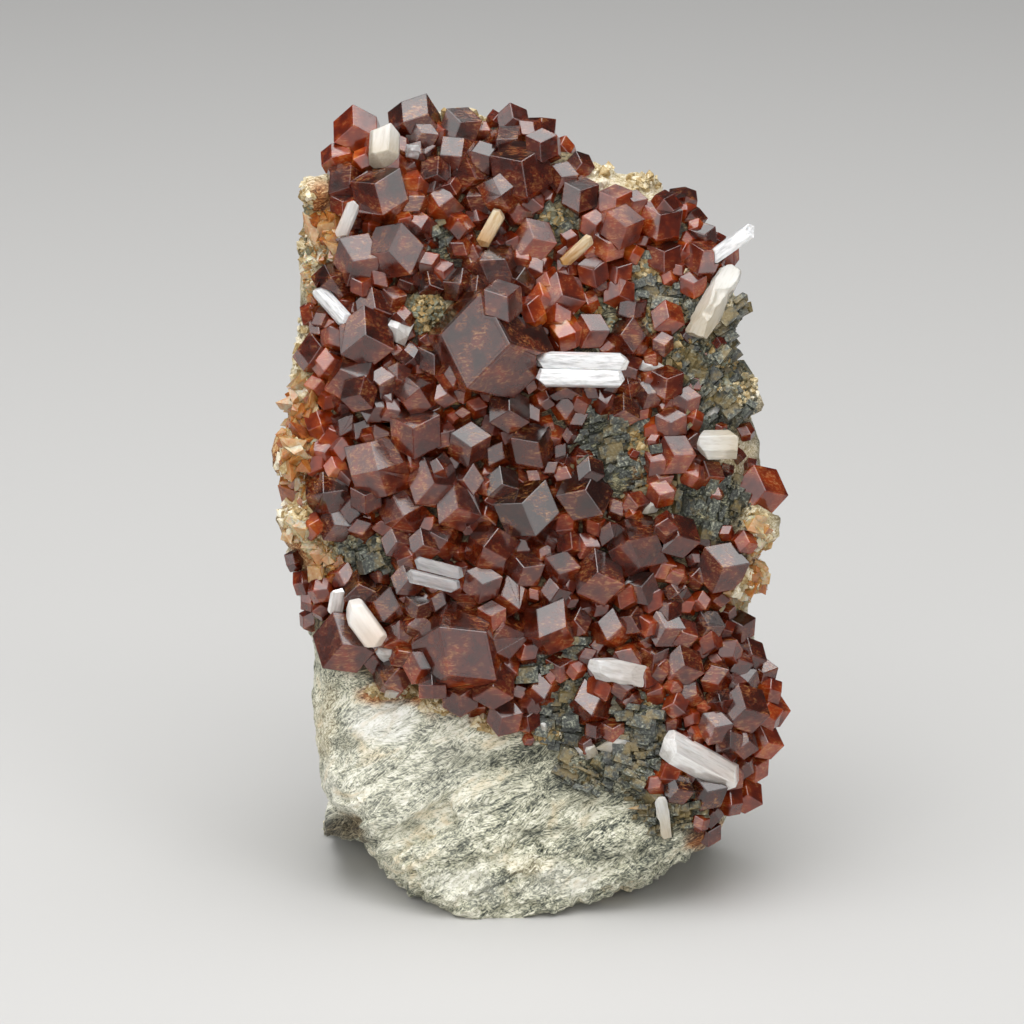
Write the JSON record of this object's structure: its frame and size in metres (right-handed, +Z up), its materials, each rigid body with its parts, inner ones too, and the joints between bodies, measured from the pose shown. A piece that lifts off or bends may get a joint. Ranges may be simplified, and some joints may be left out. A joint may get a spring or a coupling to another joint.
{
  "type": "garnet in matrix",
  "caption": "Mineral specimen: a leaning slab of pale schist whose front is crusted with red-brown dodecahedral garnet crystals, dark chlorite and small white diopside prisms.",
  "frame": {"origin": "on the ground under the middle of the specimen's bounding box", "axes": "+Z up, the crystal face looks towards -Y and a little up, +X to the right as the face is seen"},
  "size_m": [0.0564, 0.0416, 0.0847],
  "materials": {
    "matrix": "rough broken schist",
    "garnet": "glassy crystal faces",
    "diopside": "silky translucent prisms"
  },
  "bodies": {
    "root": {"matrix": "matrix", "garnet_crust": "garnet", "garnet_lower_centre": "garnet", "garnet_lower_centre_2": "garnet", "garnet_lower_centre_3": "garnet", "garnet_lower_centre_4": "garnet", "garnet_lower_left": "garnet", "garnet_lower_right": "garnet", "garnet_lower_right_2": "garnet", "garnet_lower_right_3": "garnet", "garnet_lower_right_4": "garnet", "garnet_lower_right_5": "garnet", "garnet_lower_right_6": "garnet", "garnet_middle_centre": "garnet", "garnet_middle_centre_2": "garnet", "garnet_middle_centre_3": "garnet", "garnet_middle_left": "garnet", "garnet_middle_left_2": "garnet", "garnet_middle_right": "garnet", "garnet_middle_right_2": "garnet", "garnet_middle_right_3": "garnet", "garnet_middle_right_4": "garnet", "garnet_middle_right_5": "garnet", "garnet_upper_centre": "garnet", "garnet_upper_centre_2": "garnet", "garnet_upper_centre_3": "garnet", "garnet_upper_centre_4": "garnet", "garnet_upper_centre_5": "garnet", "garnet_upper_centre_6": "garnet", "garnet_upper_left": "garnet", "garnet_upper_left_2": "garnet", "garnet_upper_left_3": "garnet", "garnet_upper_right": "garnet", "garnet_upper_right_2": "garnet", "garnet_upper_right_3": "garnet", "diopside_crown": "diopside", "diopside_left": "diopside", "diopside_left_sliver": "diopside", "diopside_pair_upper": "diopside", "diopside_pair_lower": "diopside", "diopside_right_tip": "diopside", "diopside_right_stout": "diopside", "diopside_right_block": "diopside", "diopside_lower_left": "diopside", "diopside_lower_left_stub": "diopside", "diopside_clear_upper": "diopside", "diopside_clear_lower": "diopside", "diopside_lower_fan": "diopside", "diopside_long": "diopside", "diopside_tan_right": "diopside", "diopside_tan_centre": "diopside", "diopside_blade": "diopside"}
  },
  "joints": []
}
